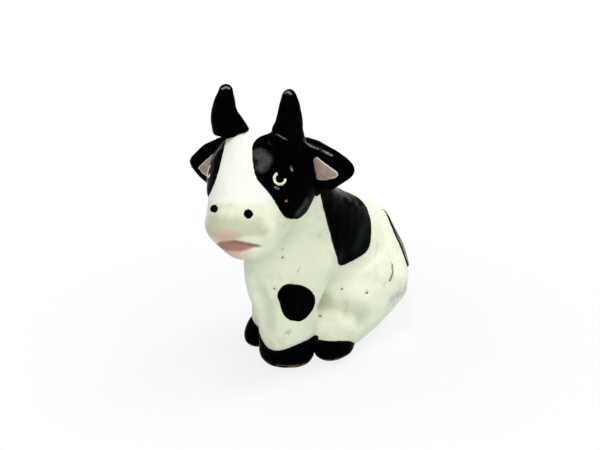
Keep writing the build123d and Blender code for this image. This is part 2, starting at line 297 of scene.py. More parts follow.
# Painted shade: a bluish tint by the hooves and a lavender one under the rump
HOOF_SHADE_BLUE, LAVENDER_SHADE = (0.50, 0.49, 0.58), (0.45, 0.43, 0.52)
BLUSH_PINK, PARTING_BROWN = (0.67, 0.45, 0.37), (0.20, 0.125, 0.09)
ROSE_DARK, ROSE_LIGHT = (0.29, 0.145, 0.115), (0.38, 0.205, 0.165)
FAINT_DIRT, DARK_DIRT, GREY_SPECK = (0.25, 0.235, 0.19), (0.05, 0.04, 0.03), (0.30, 0.29, 0.23)
DEEP_BLACK, BLOOM_BLACK = (0.0006, 0.0006, 0.0008), (0.0018, 0.0022, 0.002)
# Painted light: the grey and green sheens, and the pale grey of the glints
THIN_BLACK, PATCH_SHEEN_GREY = (0.03, 0.028, 0.02), (0.055, 0.06, 0.054)
SHEEN_GREEN, GLINT_GREY = (0.006, 0.012, 0.0095), (0.42, 0.43, 0.43)
RED_SPECK, DUST_SPECK = (0.05, 0.012, 0.008), (0.06, 0.057, 0.05)
BARE_CLAY = (0.36, 0.26, 0.13)
CHIP_RED, CHIP_PALE = (0.12, 0.02, 0.015), (0.6, 0.5, 0.45)
PINK_DARK, PINK_LIGHT, PINK_EDGE = (0.29, 0.19, 0.155), (0.37, 0.26, 0.215), (0.78, 0.70, 0.60)
LINE_CREAM, LINE_OCHRE = (0.80, 0.77, 0.55), (0.62, 0.58, 0.40)
PICK_FADE = 0.02

# Light and floor
AMBIENT = 0.32
FLOOR_HALF = 1.5
FLOOR_COLOUR = (0.56, 0.65, 0.60, 1)
FLOOR_ROUGH = 0.7
GLOW_FROM, GLOW_TO = 10, 38
GLOW_NEAR, GLOW_FAR = 0.84, 1.0


def mesh_points(mesh):
    """A mesh's corners in millimetres."""
    points = np.zeros(len(mesh.vertices) * 3, np.float32)
    mesh.vertices.foreach_get("co", points)
    return points.reshape(-1, 3) / MM


def node_mesh(node):
    """A CAD node's corners in millimetres, and its triangles."""
    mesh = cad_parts[node].data
    mesh.calc_loop_triangles()
    triangles = np.zeros(len(mesh.loop_triangles) * 3, np.int32)
    mesh.loop_triangles.foreach_get("vertices", triangles)
    return mesh_points(mesh), triangles.reshape(-1, 3)


def as_array(grid):
    """A grid's distances, with one number for each voxel of the box."""
    field = np.zeros(GRID_SHAPE, np.float32)
    grid.copyToArray(field, ijk=GRID_CORNER)
    return field


def node_field(node):
    """Signed distances to a CAD node's surface, in millimetres."""
    points, triangles = node_mesh(node)
    grid = vdb.FloatGrid.createLevelSetFromPolygons(
        points, triangles=triangles.astype(np.uint32), transform=GRID_MAP, halfWidth=REACH / VOXEL
    )
    return as_array(grid)


def skin(field, level=0.0):
    """The mesh where a field has that level."""
    grid = vdb.FloatGrid(REACH)
    grid.transform = GRID_MAP
    grid.copyFromArray(np.ascontiguousarray(field), ijk=GRID_CORNER)
    return grid.convertToQuads(level)


def joined(*parts):
    """The distances to several pieces as to one, with no trace of the faces between them."""
    lift = 0.1
    points, quads = skin(np.minimum.reduce(parts), lift)
    grid = vdb.FloatGrid.createLevelSetFromPolygons(
        points, quads=quads, transform=GRID_MAP, halfWidth=REACH / VOXEL
    )
    return as_array(grid) + lift


def melt(a, b, size):
    """Two fields as one, with a smooth join."""
    share = np.clip(0.5 + 0.5 * (b - a) / size, 0, 1)
    return b + (a - b) * share - size * share * (1 - share)


def carved(field, tool, size):
    """A field with a tool pressed into it, and the edge rounded over."""
    return -melt(-field, tool, size)


def blurred(field, spread):
    """A field smoothed over about that many millimetres."""
    taps = max(1, int(round(BLUR_REACH * spread / VOXEL)))
    steps = np.arange(-taps, taps + 1)
    weights = np.exp(-0.5 * (steps * VOXEL / spread) ** 2)
    weights /= weights.sum()
    for axis in range(3):
        pads = [(taps, taps) if a == axis else (0, 0) for a in range(3)]
        wide = np.pad(field, pads, mode="edge")
        field = np.zeros(GRID_SHAPE, np.float32)
        for step, weight in zip(range(2 * taps + 1), weights):
            cut = [slice(step, step + GRID_SHAPE[a]) if a == axis else slice(None) for a in range(3)]
            field += np.float32(weight) * wide[tuple(cut)]
    return field


def smooth_step(low, high, value):
    """Nothing at the low end of a range, one at its high end, and a smooth rise between them."""
    share = np.clip((value - low) / (high - low), 0, 1)
    return share * share * (3 - 2 * share)


def sample(field, points):
    """A field's values at points given in millimetres."""
    place = points / VOXEL - GRID_LOW
    base = np.clip(np.floor(place).astype(int), 0, np.array(GRID_SHAPE) - 2)
    part = np.clip(place - base, 0, 1)
    total = np.zeros(len(points))
    for i in (0, 1):
        for j in (0, 1):
            for k in (0, 1):
                weight = np.ones(len(points))
                for axis, corner in enumerate((i, j, k)):
                    weight *= part[:, axis] if corner else 1 - part[:, axis]
                total += weight * field[base[:, 0] + i, base[:, 1] + j, base[:, 2] + k]
    return total


def slopes(field, points):
    """A field's outward directions at points."""
    found = np.zeros((len(points), 3))
    for axis in range(3):
        shift = np.zeros(3)
        shift[axis] = VOXEL
        found[:, axis] = sample(field, points + shift) - sample(field, points - shift)
    return found / np.maximum(np.linalg.norm(found, axis=1, keepdims=True), 1e-9)


def photo_ray(pixel):
    """The direction in which the camera looks at a pixel of the photograph."""
    ray = (pixel[0] - PHOTO_WIDTH / 2) * VIEW_RIGHT - (pixel[1] - PHOTO_HEIGHT / 2) * VIEW_UP
    ray = ray - PIXELS_PER_MM * VIEW_DISTANCE * VIEW_BACK
    return ray / np.linalg.norm(ray)


def photo_pixels(points):
    """The pixels at which the photograph shows points."""
    away = points - VIEW_EYE
    scale = PIXELS_PER_MM * VIEW_DISTANCE / -(away @ VIEW_BACK)
    return PHOTO_WIDTH / 2 + scale * (away @ VIEW_RIGHT), PHOTO_HEIGHT / 2 - scale * (away @ VIEW_UP)


def seen_at(field, pixels):
    """The surface's points that the photograph shows at pixels of its frame."""
    found = []
    away = np.arange(VIEW_DISTANCE - VIEW_SEARCH, VIEW_DISTANCE + VIEW_SEARCH, VOXEL / 3)
    for pixel in pixels:
        line = VIEW_EYE + away[:, None] * photo_ray(pixel)
        boxed = np.all((line > BOX_LOW - MARGIN) & (line < BOX_HIGH + MARGIN), axis=1)
        depth = np.where(boxed, sample(field, line), REACH)
        first = np.argmax(depth < 0) if (depth < 0).any() else np.argmin(depth)
        found.append(line[first])
    return np.array(found)


def right_of(pixels, x, y, z):
    """How far places lie to the right of a line drawn on the photograph, walking from its first pixel."""
    facing = np.cross(photo_ray(pixels[0]), photo_ray(pixels[1]))
    facing = facing / np.linalg.norm(facing)
    return (x - VIEW_EYE[0]) * facing[0] + (y - VIEW_EYE[1]) * facing[1] + (z - VIEW_EYE[2]) * facing[2]


def worm(points, radius):
    """The distances to a rounded rod along a line of points."""
    field = np.full(GRID_SHAPE, REACH, np.float32)
    room = radius + WORM_ROOM
    for start, end in zip(points, points[1:] if len(points) > 1 else points):
        low = np.maximum(np.floor((np.minimum(start, end) - room) / VOXEL).astype(int) - GRID_LOW, 0)
        high = np.ceil((np.maximum(start, end) + room) / VOXEL).astype(int) - GRID_LOW
        here = tuple(slice(a, b) for a, b in zip(low, high))
        x, y, z = X[here[0]], Y[:, here[1]], Z[:, :, here[2]]
        way = end - start
        share = (x - start[0]) * way[0] + (y - start[1]) * way[1] + (z - start[2]) * way[2]
        share = np.clip(share / max(way.dot(way), 1e-9), 0, 1)
        gaps = [p - start[a] - share * way[a] for a, p in enumerate((x, y, z))]
        away = np.sqrt(gaps[0] ** 2 + gaps[1] ** 2 + gaps[2] ** 2) - radius
        field[here] = np.minimum(field[here], away)
    return field


def pressed(field, mark):
    """A field with a round tool drawn along a line on its surface."""
    points = seen_at(field, mark.pixels)
    tool = worm(points + slopes(field, points) * (mark.radius - mark.depth), mark.radius)
    return carved(field, tool, mark.soft)


def ridged(field, mark):
    """A field with a rounded ridge along a line on its surface."""
    points = seen_at(field, mark.pixels)
    ridge = worm(points - slopes(field, points) * (mark.radius - mark.depth), mark.radius)
    return melt(field, ridge, mark.soft)


def drawn(lines, *surfaces):
    """The distances to lines drawn on surfaces, each a line of pixels and its half width."""
    return np.minimum.reduce([worm(seen_at(s, pixels), width) for pixels, width in lines for s in surfaces])


def waves(length, height, turn):
    """A gentle unevenness with bumps about that long, from three slanted ripples."""
    pace = 2 * math.pi / length
    a = np.sin(pace * (X * math.cos(turn) + 0.6 * Z) + turn)
    b = np.sin(pace * (Y * math.cos(turn) - 0.5 * X + 0.3 * Z) + 2 * turn)
    c = np.sin(pace * (0.8 * Z + 0.45 * Y * math.sin(turn)) + 3 * turn)
    return (height * a * b * c).astype(np.float32)


def region(among, node):
    """Below zero where a node is the nearest one, and how much further off it is elsewhere."""
    others = np.minimum.reduce([among[n] for n in CLAY_NODES if n != node])
    return among[node] - others


fields = {node: node_field(node) for node in CLAY_NODES}
cad_fields = dict(fields)
cad_regions = {node: region(cad_fields, node) for node in DARK_NODES}
cad_surface = np.minimum.reduce(list(cad_fields.values()))

for side in SIDES:
    horn = melt(fields[f"{side}_horn"], worm(np.array(FLARES[side]), FLARE_RADIUS), FLARE_MELT)
    below = right_of(HORN_FEET[side], X, Y, Z)
    fields[f"{side}_horn"] = carved(horn, -below, HORN_FOOT_ROUND[side])
horn_edge = -right_of(RIGHT_HORN_EDGE, X, Y, Z)
fields["right_horn"] = carved(fields["right_horn"], horn_edge, RIGHT_HORN_ROUND)
regions = {node: region(fields, node) for node in CLAY_NODES}


def rump_cut():
    """The flat side of the rump. It leans a little, so that the camera sees the patch on it."""
    gaps = [axis - aim for axis, aim in zip((X, Y, Z), VIEW_AIM)]
    nearer = gaps[0] * VIEW_BACK[0] + gaps[1] * VIEW_BACK[1] + gaps[2] * VIEW_BACK[2]
    return right_of(RUMP_EDGE, X, Y, Z) - RUMP_LEAN * (nearer - RUMP_HINGE)


def body_clay():
    """The seated body with its legs, hooves and tail."""
    body = fields["torso"]
    for side in SIDES:
        body = melt(body, fields[f"{side}_haunch"], MELT_HAUNCH)
    body = ridged(body, RUMP_FULL)
    body = ridged(body, RUMP_CORNER)
    body = carved(body, rump_cut(), RUMP_ROUND)
    body = carved(body, right_of(BASE_EDGE, X, Y, Z), BASE_ROUND)
    legs = joined(fields["forelegs"], fields["fore_hoof"])
    up = smooth_step(*VALLEY_RISE, Z)
    body = melt(body, legs, MELT_VALLEY + (MELT_CHEST - MELT_VALLEY) * up)
    for side in SIDES:
        body = melt(body, fields[f"{side}_hind_hoof"], MELT_HOOF)
    body = melt(body, fields["tail"], MELT_TAIL)
    return melt(body, fields["tail_tuft"], MELT_TAIL)


def head_clay():
    """The head with its muzzle and lip."""
    head = joined(fields["head"], fields["muzzle"])
    head = melt(head, fields["lower_lip"], MELT_LIP)
    return carved(head, -right_of(CHIN_EDGE, X, Y, Z), CHIN_ROUND)


def opened_mouth(field):
    """A mouth line, with the upper lip rolled out over it."""
    ends = seen_at(field, LIP_ENDS)
    middle, half = ends.mean(0), (ends[1] - ends[0]) / 2
    along = (X - middle[0]) * half[0] + (Y - middle[1]) * half[1] + (Z - middle[2]) * half[2]
    along = along / half.dot(half)
    below = right_of(LIP_ENDS, X, Y, Z) + MOUTH_BOW * np.maximum(1 - along**2, 0)
    close = smooth_step(*MOUTH_FADE, np.abs(along)) * smooth_step(*FACE_DEPTH, Y)
    line = np.exp(-((below / MOUTH_WIDTH) ** 2))
    roll = np.exp(-(((below + LIP_ROLL_PLACE) / LIP_ROLL_WIDTH) ** 2))
    return field + (MOUTH_OPEN * line - LIP_ROLL * roll) * close


def sculpt():
    """The whole cow's clay as one field."""
    clay = melt(body_clay(), head_clay(), MELT_NECK)
    for side in SIDES:
        clay = melt(clay, fields[f"{side}_horn"], MELT_HORN[side])
        clay = melt(clay, fields[f"{side}_ear"], MELT_EAR)
    clay = blurred(clay, SOFTEN)
    for length, height, turn in UNEVEN:
        clay = clay + waves(length, height, turn)
    clay = opened_mouth(clay)
    for side in SIDES:
        clay = carved(clay, node_field(f"{side}_ear_lining") - EAR_CUP_ROOM, EAR_CUP_ROUND)
    clay = pressed(clay, FOOT_CREASE)
    clay = ridged(clay, FOOT_TOP)
    clay = pressed(clay, RIGHT_CREASE)
    clay = ridged(clay, EAR_FOLD)
    for mark in (*NOSTRIL_PITS, SCRATCH, SCRATCH_TAIL, BACK_CREASE, CHEST_NICK, *PITS):
        clay = pressed(clay, mark)
    clay = clay + FOOT_ROUND * smooth_step(FOOT_HIGH, 0, Z) ** 2
    return np.maximum(clay, -Z)


clay = sculpt()

# What the paint follows: hollows and valleys for painted shade, the edges of the black, lines of painted
# shade, sheens and glints, and old marks
hollows = -blurred(clay, HOLLOW_SPREAD)
WHITE_FIELDS = {
    "shaded_crease": drawn(CREASE_SHADE, clay),
    "mark": drawn(DARK_MARKS, clay),
    "faint": drawn(FAINT_MARKS, clay),
    "rump": drawn(RUMP_SHADE, clay),
    "hoof_shade": np.minimum.reduce([fields[node] for node in BLACK_NODES]),
    "hollow_shade": hollows,
    "valley_shade": -blurred(clay, VALLEY_SPREAD),
}
BLACK_FIELDS = {
    "chip": drawn(CHIP, clay),
    "patch_sheen": drawn(PATCH_SHEENS, clay),
    "sheen": drawn(GREEN_SHEEN, clay),
    "wear_and_glint": drawn(GLINT_EDGES, clay, clay - ENAMEL_THICK),
}


def face_paint(points):
    """How much rose, painted shade where the lips part, pale pink, painted grey shade and painted highlight
    white each point of the face has.
    """
    u, v = photo_pixels(points)
    lip, muzzle = sample(fields["lower_lip"], points), sample(fields["muzzle"], points)
    close = smooth_step(*ROSE_NEAR, np.minimum(lip, muzzle)) * smooth_step(*FACE_DEPTH, points[:, 1])
    top, bottom = np.interp(u, *zip(*ROSE_TOP)), np.interp(u, *zip(*ROSE_BOTTOM))
    rose = smooth_step(top - ROSE_TOP_SOFT, top + ROSE_TOP_SOFT, v)
    rose = rose * smooth_step(bottom + ROSE_BOTTOM_SOFT, bottom - ROSE_BOTTOM_SOFT, v)
    rose = rose * smooth_step(*ROSE_LEFT, u) * smooth_step(*ROSE_RIGHT, u) * close
    parting = rose * smooth_step(top + PARTING_START, top + PARTING_FULL, v) * smooth_step(*PARTING_LEFT, u)
    gap = np.hypot((u - BLUSH_PLACE[0]) / BLUSH_SIZE[0], (v - BLUSH_PLACE[1]) / BLUSH_SIZE[1])
    chin = smooth_step(bottom + CHIN_START, bottom + CHIN_FULL, v) * smooth_step(*CHIN_LOW, v)
    chin = chin * smooth_step(*CHIN_LEFT, u) * smooth_step(*CHIN_RIGHT, u)
    blush = np.maximum(smooth_step(*BLUSH_FADE, gap), chin) * close
    shade = SHADE_TOP_SHARE * smooth_step(*SHADE_TOP, v) + SHADE_MIDDLE_SHARE * smooth_step(*SHADE_MIDDLE, v)
    shade = shade * smooth_step(*SHADE_LOW, v) * smooth_step(*SHADE_LEFT, u) * smooth_step(*SHADE_RIGHT, u)
    forehead_highlight = smooth_step(*HIGHLIGHT_LOW, v) * smooth_step(*HIGHLIGHT_NEAR, sample(fields["head"], points))
    forehead_highlight = forehead_highlight * smooth_step(*HIGHLIGHT_DEPTH, points[:, 1])
    return {"rose": rose, "parting": parting, "blush": blush, "shade": shade * close, "forehead_highlight": forehead_highlight}


def new_piece(name, points, faces, node, material):
    """A smooth mesh that stands for a CAD node, kept inside the CAD box."""
    mesh = bpy.data.meshes.new(name)
    points = np.clip(np.asarray(points, float), BOX_LOW, BOX_HIGH)
    mesh.from_pydata((points * MM).tolist(), [], np.asarray(faces).tolist())
    mesh.validate()
    mesh.polygons.foreach_set("use_smooth", [True] * len(mesh.polygons))
    mesh.materials.append(material)
    piece = bpy.data.objects.new(name, mesh)
    bpy.context.scene.collection.objects.link(piece)
    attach(piece, "root")
    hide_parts(node)
    return piece


def give(piece, name, values):
    """One number for each corner of a mesh, for its material to read."""
    layer = piece.data.attributes.new(name, "FLOAT", "POINT")
    layer.data.foreach_set("value", np.asarray(values, np.float32))


def outward(points, quads):
    """Quads turned so that their fronts face outwards."""
    a, b, c, d = (points[quads[:, i]] for i in range(4))
    volume = np.einsum("ij,ij->i", a, np.cross(b, c)).sum() + np.einsum("ij,ij->i", a, np.cross(c, d)).sum()
    return quads if volume > 0 else quads[:, ::-1]


def clay_piece(node, material, paint):
    """A node's share of the clay, run on a little way under its neighbours."""
    field = regions[node]
    shape = clay - paint(-field) + SEAM_SINK * np.maximum(field, 0) ** 3
    shape = np.maximum(shape, field - SEAM_OVERLAP)
    shape = np.maximum(shape, -Z)
    points, quads = skin(shape)
    piece = new_piece(f"{node}_clay", points, outward(points, quads), node, material)
    if node in WHITE_NODES:
        for name, values in face_paint(mesh_points(piece.data)).items():
            give(piece, name, values)
        for name, marks in WHITE_FIELDS.items():
            give(piece, name, sample(marks, points))
    else:
        give(piece, "inside", np.ones(len(points)) if node in DARK_NODES else -sample(field, points))
        for name, marks in BLACK_FIELDS.items():
            give(piece, name, sample(marks, points))


def bare(inside):
    return 0.0


def hoof_paint(inside):
    return PAINT_THICK * smooth_step(0, PAINT_ROUND, inside)


def root_paint(inside):
    """Enamel that runs from a patch on to the foot of a horn or an ear."""
    return ENAMEL_THICK * smooth_step(*ROOT_FADE, inside)


class Finish:
    """A procedural paint under construction. Sizes are in millimetres."""

    def __init__(self, name, gloss):
        self.material = bpy.data.materials.new(name)
        self.material.use_nodes = True
        self.tree = self.material.node_tree
        self.shader = self.tree.nodes["Principled BSDF"]
        self.shader.inputs["Specular IOR Level"].default_value = gloss
        self.place = self.tree.nodes.new("ShaderNodeTexCoord").outputs["Object"]

    def set(self, node, socket, value):
        if isinstance(value, bpy.types.NodeSocket):
            self.tree.links.new(value, node.inputs[socket])
        elif isinstance(value, tuple):
            node.inputs[socket].default_value = (*value, 1)
        else:
            node.inputs[socket].default_value = value

    def attribute(self, name):
        node = self.tree.nodes.new("ShaderNodeAttribute")
        node.attribute_name = name
        return node.outputs["Fac"]

    def height(self):
        node = self.tree.nodes.new("ShaderNodeSeparateXYZ")
        self.set(node, "Vector", self.place)
        return node.outputs["Z"]

    def stretched(self, shares):
        node = self.tree.nodes.new("ShaderNodeMapping")
        self.set(node, "Vector", self.place)
        node.inputs["Scale"].default_value = shares
        return node.outputs["Vector"]

    def noise(self, size, detail=3.0, stretch=None, wander=0.0):
        node = self.tree.nodes.new("ShaderNodeTexNoise")
        self.set(node, "Vector", self.stretched(stretch) if stretch else self.place)
        self.set(node, "Scale", 1 / (size * MM))
        self.set(node, "Detail", detail)
        self.set(node, "Distortion", wander)
        return node.outputs["Fac"]

    def specks(self, spacing, radius, keep):
        """Small round spots with soft rims, on that share of the cells of a grid."""
        node = self.tree.nodes.new("ShaderNodeTexVoronoi")
        self.set(node, "Vector", self.place)
        self.set(node, "Scale", 1 / (spacing * MM))
        rim = radius / spacing
        spot = self.ramp(node.outputs["Distance"], start=rim, full=rim / 2)
        pick = self.tree.nodes.new("ShaderNodeSeparateColor")
        self.set(pick, "Color", node.outputs["Color"])
        chosen = self.ramp(pick.outputs["Red"], start=keep, full=keep - PICK_FADE)
        return self.sum("MULTIPLY", spot, chosen)

    def ramp(self, value, start, full, most=1.0):
        """Nothing at the start of a range, up or down, and the most at its other end."""
        node = self.tree.nodes.new("ShaderNodeMapRange")
        node.interpolation_type = "SMOOTHSTEP"
        rises = start < full
        self.set(node, "Value", value)
        self.set(node, "From Min", min(start, full))
        self.set(node, "From Max", max(start, full))
        self.set(node, "To Min", 0.0 if rises else most)
        self.set(node, "To Max", most if rises else 0.0)
        return node.outputs["Result"]

    def roughness(self, value, start, full, least, spread):
        """A roughness that grows from the least one by its spread, as a pattern goes through a range."""
        return self.sum("ADD", self.ramp(value, start, full, spread), least)

    def sum(self, kind, a, b):
        node = self.tree.nodes.new("ShaderNodeMath")
        node.operation = kind
        node.use_clamp = True
        self.set(node, 0, a)
        self.set(node, 1, b)
        return node.outputs["Value"]

    def mix(self, share, a, b):
        node = self.tree.nodes.new("ShaderNodeMix")
        node.data_type = "RGBA"
        self.set(node, "Factor", share)
        self.set(node, "A", a)
        self.set(node, "B", b)
        return node.outputs["Result"]

    def done(self, colour, rough, bumps):
        """The finished paint. Each bump has its pattern and its depth."""
        self.set(self.shader, "Base Color", colour)
        self.set(self.shader, "Roughness", rough)
        normal = None
        for height, depth in bumps:
            node = self.tree.nodes.new("ShaderNodeBump")
            self.set(node, "Height", height)
            self.set(node, "Strength", 1.0)
            self.set(node, "Distance", depth * MM)
            if normal is not None:
                self.set(node, "Normal", normal)
            normal = node.outputs["Normal"]
        self.set(self.shader, "Normal", normal)
        return self.material


def white_paint():
    """Cream-white gloss paint with brush marks, pinholes and old dirt. Painted olive shade darkens its
    hollows, valleys, foot crease and muzzle front, painted bluish and lavender shade lie by the hooves and
    under the rump, and a painted highlight whitens the forehead.
    """
    f = Finish("cream_white_paint", gloss=0.3)
    blotch = f.noise(size=2.8, detail=2.0, wander=0.6)
    mottle = f.noise(size=0.7, detail=4.0)
    strokes = f.noise(size=0.32, detail=2.0, stretch=(0.3, 0.3, 1.0), wander=0.3)
    # Painted shade: olive-grey in the clay's hollows and wide valleys
    shaded_crease = f.ramp(f.attribute("hollow_shade"), start=-0.03, full=0.22, most=0.45)
    valley_shade = f.ramp(f.attribute("valley_shade"), start=-0.1, full=0.7, most=0.15)
    # Random blotches of duller paint, kept off the painted highlight on the forehead
    wear_and_glint = f.ramp(blotch, start=0.45, full=0.75, most=0.5)
    wear_and_glint = f.sum("MULTIPLY", wear_and_glint, f.ramp(mottle, start=0.3, full=0.7))
    wear_and_glint = f.sum("MULTIPLY", wear_and_glint, f.ramp(f.attribute("forehead_highlight"), start=1.0, full=0.0))
    # The olive share: painted shade and random blotches together
    shade = f.sum("ADD", f.sum("ADD", shaded_crease, valley_shade), wear_and_glint)
    # Painted shade on the muzzle's front
    shade = f.sum("ADD", shade, f.ramp(f.attribute("shade"), start=0.0, full=1.0, most=0.95))
    # Painted shade along the foot crease
    shade = f.sum("ADD", shade, f.ramp(f.attribute("shaded_crease"), start=1.7, full=0.1, most=0.5))
    # Painted highlight on the forehead and snout top
    colour = f.mix(f.attribute("forehead_highlight"), CREAM_WHITE, HIGHLIGHT_WHITE)
    colour = f.mix(shade, colour, OLIVE_SHADE)
    colour = f.mix(f.ramp(strokes, start=0.55, full=0.8, most=0.22), colour, BRUSHED_WHITE)
    # Painted bluish shade on the white beside the black hooves
    colour = f.mix(f.ramp(f.attribute("hoof_shade"), start=0.5, full=0.05, most=0.55), colour, HOOF_SHADE_BLUE)
    # Painted lavender shade under the rump
    rump = f.ramp(f.attribute("rump"), start=1.1, full=-0.3, most=0.75)
    colour = f.mix(f.sum("MULTIPLY", rump, f.ramp(mottle, start=0.25, full=0.6)), colour, LAVENDER_SHADE)
    blush = f.sum("MULTIPLY", f.attribute("blush"), f.ramp(mottle, start=0.1, full=0.5))
    colour = f.mix(blush, colour, BLUSH_PINK)
    colour = f.mix(f.attribute("rose"), colour, f.mix(mottle, ROSE_DARK, ROSE_LIGHT))
    # Painted shade where the lips part
    parting = f.sum("MULTIPLY", f.attribute("parting"), PARTING_SHARE)
    colour = f.mix(parting, colour, PARTING_BROWN)
    faint = f.ramp(f.attribute("faint"), start=0.14, full=-0.1, most=0.5)
    colour = f.mix(f.sum("MULTIPLY", faint, f.ramp(mottle, start=0.42, full=0.6)), colour, FAINT_DIRT)
    colour = f.mix(f.ramp(f.attribute("mark"), start=0.06, full=-0.06, most=0.85), colour, DARK_DIRT)
    colour = f.mix(f.specks(spacing=3.3, radius=0.14, keep=0.3), colour, GREY_SPECK)
    rough = f.roughness(mottle, start=0.2, full=0.9, least=0.25, spread=0.5)
    return f.done(colour, rough, bumps=((blotch, 0.10), (strokes, 0.035), (mottle, 0.02)))


def black_paint():
    """Glossy black enamel with a faint bloom, brush marks, dust and red-brown specks, and painted sheens and
    glints where reflections fall.
    """
    f = Finish("black_gloss_paint", gloss=0.004)
    bloom = f.noise(size=1.6, detail=3.0, wander=0.8)
    fine = f.noise(size=0.35, detail=3.0)
    strokes = f.noise(size=0.3, detail=2.0, stretch=(1.0, 1.0, 0.35), wander=0.4)
    colour = f.mix(f.ramp(bloom, start=0.5, full=0.8, most=0.8), DEEP_BLACK, BLOOM_BLACK)
    edge = f.ramp(f.attribute("inside"), start=0.16, full=0.02, most=0.6)
    colour = f.mix(f.sum("MULTIPLY", edge, f.ramp(fine, start=0.4, full=0.65)), colour, THIN_BLACK)
    # Painted reflections: grey sheens on the eye patch
    patch_sheen = f.ramp(f.attribute("patch_sheen"), start=0.3, full=-0.35)
    colour = f.mix(f.sum("MULTIPLY", patch_sheen, f.ramp(fine, start=0.1, full=0.6)), colour, PATCH_SHEEN_GREY)
    colour = f.mix(f.ramp(f.attribute("sheen"), start=1.0, full=-0.2, most=0.8), colour, SHEEN_GREEN)
    # Painted glints on ridges and tips
    wear_and_glint = f.ramp(f.attribute("wear_and_glint"), start=0.13, full=-0.02, most=0.8)
    colour = f.mix(f.sum("MULTIPLY", wear_and_glint, f.ramp(fine, start=0.3, full=0.55)), colour, GLINT_GREY)
    colour = f.mix(f.specks(spacing=1.3, radius=0.07, keep=0.22), colour, RED_SPECK)
    colour = f.mix(f.specks(spacing=1.9, radius=0.06, keep=0.25), colour, DUST_SPECK)
    foot = f.ramp(f.height(), start=0.9 * MM, full=0.35 * MM, most=0.8)
    colour = f.mix(f.sum("MULTIPLY", foot, f.ramp(bloom, start=0.44, full=0.58)), colour, BARE_CLAY)
    colour = f.mix(f.ramp(f.attribute("chip"), start=0.25, full=0.16), colour, CHIP_RED)
    colour = f.mix(f.ramp(f.attribute("chip"), start=0.15, full=0.08), colour, CHIP_PALE)
    rough = f.roughness(bloom, start=0.3, full=0.8, least=0.06, spread=0.08)
    return f.done(colour, rough, bumps=((bloom, 0.006), (strokes, 0.004), (fine, 0.003)))


def pink_paint():
    """Dull pink-beige paint, thin and paler at its edge."""
    f = Finish("pink_paint", gloss=0.3)
    mottle = f.noise(size=0.6, detail=4.0)
    colour = f.mix(f.ramp(mottle, start=0.3, full=0.7), PINK_DARK, PINK_LIGHT)
    colour = f.mix(f.ramp(f.attribute("inside"), start=0.14, full=0.04, most=0.75), colour, PINK_EDGE)
    rough = f.roughness(mottle, start=0.2, full=0.8, least=0.3, spread=0.2)
    return f.done(colour, rough, bumps=((mottle, 0.03),))


def cream_paint():
    """A fine line of thick cream paint."""
    f = Finish("cream_line_paint", gloss=0.4)
    mottle = f.noise(size=0.25, detail=3.0)
    colour = f.mix(f.ramp(mottle, start=0.35, full=0.7), LINE_CREAM, LINE_OCHRE)
    rough = f.roughness(mottle, start=0.2, full=0.8, least=0.25, spread=0.15)
    return f.done(colour, rough, bumps=((mottle, 0.02),))


WHITE = white_paint()
BLACK = black_paint()
PINK = pink_paint()
CREAM = cream_paint()

for node in WHITE_NODES:
    clay_piece(node, WHITE, bare)
for node in BLACK_NODES:
    clay_piece(node, BLACK, hoof_paint)
for node in DARK_NODES:
    clay_piece(node, BLACK, root_paint)

whole_points, whole_quads = skin(clay)
whole_quads = outward(whole_points, whole_quads)


def quad_edges(quads):
    """The four edges of each quad, in the order in which it runs round them."""
    return np.concatenate([np.stack([quads[:, i], quads[:, (i + 1) % 4]], 1) for i in range(4)])


def finer(points, quads):
    """Each quad cut in four."""
    edges = np.sort(quad_edges(quads), axis=1)
    unique, back = np.unique(edges, axis=0, return_inverse=True)
    back = back.reshape(4, -1)
    middles = (points[unique[:, 0]] + points[unique[:, 1]]) / 2
    centres = points[quads].mean(1)
    first_middle, first_centre = len(points), len(points) + len(middles)
    centre_at = first_centre + np.arange(len(quads))
    made = []
    for i in range(4):
        made.append(np.stack([quads[:, i], first_middle + back[i], centre_at, first_middle + back[i - 1]], 1))
    return np.concatenate([points, middles, centres]), np.concatenate(made)


def used(quads, *values):
    """Quads counted anew over only the points that they use, and those points' values."""
    kept, back = np.unique(quads, return_inverse=True)
    return back.reshape(-1, 4), *(value[kept] for value in values)


def nearest_on(corners, triangles, points):
    """The nearest place on some triangles to each point."""
    hedge = BVHTree.FromPolygons(corners.tolist(), triangles.tolist())
    return np.array([hedge.find_nearest(Vector(p))[0] for p in points])


def across(offset, normal):
    """The part of offsets that lies along the surface."""
    return np.linalg.norm(offset - (offset * normal).sum(1, keepdims=True) * normal, axis=1)


def under_view(points, normals):
    """Where the CAD surface lies behind points of the clay, along the view or, on far sides, the normal."""
    turned = (normals @ VIEW_BACK)[:, None]
    along_view = VIEW_BACK / np.maximum(turned, LEAST_TURN)
    lean = normals + (along_view - normals) * smooth_step(*TURN_BLEND, turned)
    return points - lean * sample(cad_surface, points)[:, None]


def rim_distance(node, points, normals, rounding, joins):
    """How far inside a film's edge each point of the clay lies, along the surface, and below zero outside it.
    Where the film runs on under a joined piece it has no edge."""
    corners, triangles = node_mesh(node)
    a, b, c = (corners[triangles[:, i]] for i in range(3))
    facing = np.cross(b - a, c - a)
    facing = facing / np.maximum(np.linalg.norm(facing, axis=1, keepdims=True), 1e-12)
    middle = (a + b + c) / 3
    wall = np.abs((facing * slopes(hollows, middle)).sum(1)) < WALL_LEAN
    free = np.ones(len(middle), bool)
    for other in joins:
        free &= sample(cad_fields[other], middle) > JOIN_NEAR
    on_cap = nearest_on(corners, triangles[~wall], points)
    outside = across(points - on_cap, normals)
    inside = across(points - nearest_on(corners, triangles[wall & free], points), normals)
    depth = np.where(outside > RIM_SLACK, -outside, inside)
    for other in joins:
        under = sample(cad_regions[other], points) < JOIN_NEAR
        under &= sample(cad_fields[other], on_cap) < JOIN_NEAR
        depth = np.where(under, np.maximum(depth, rounding), depth)
    return depth


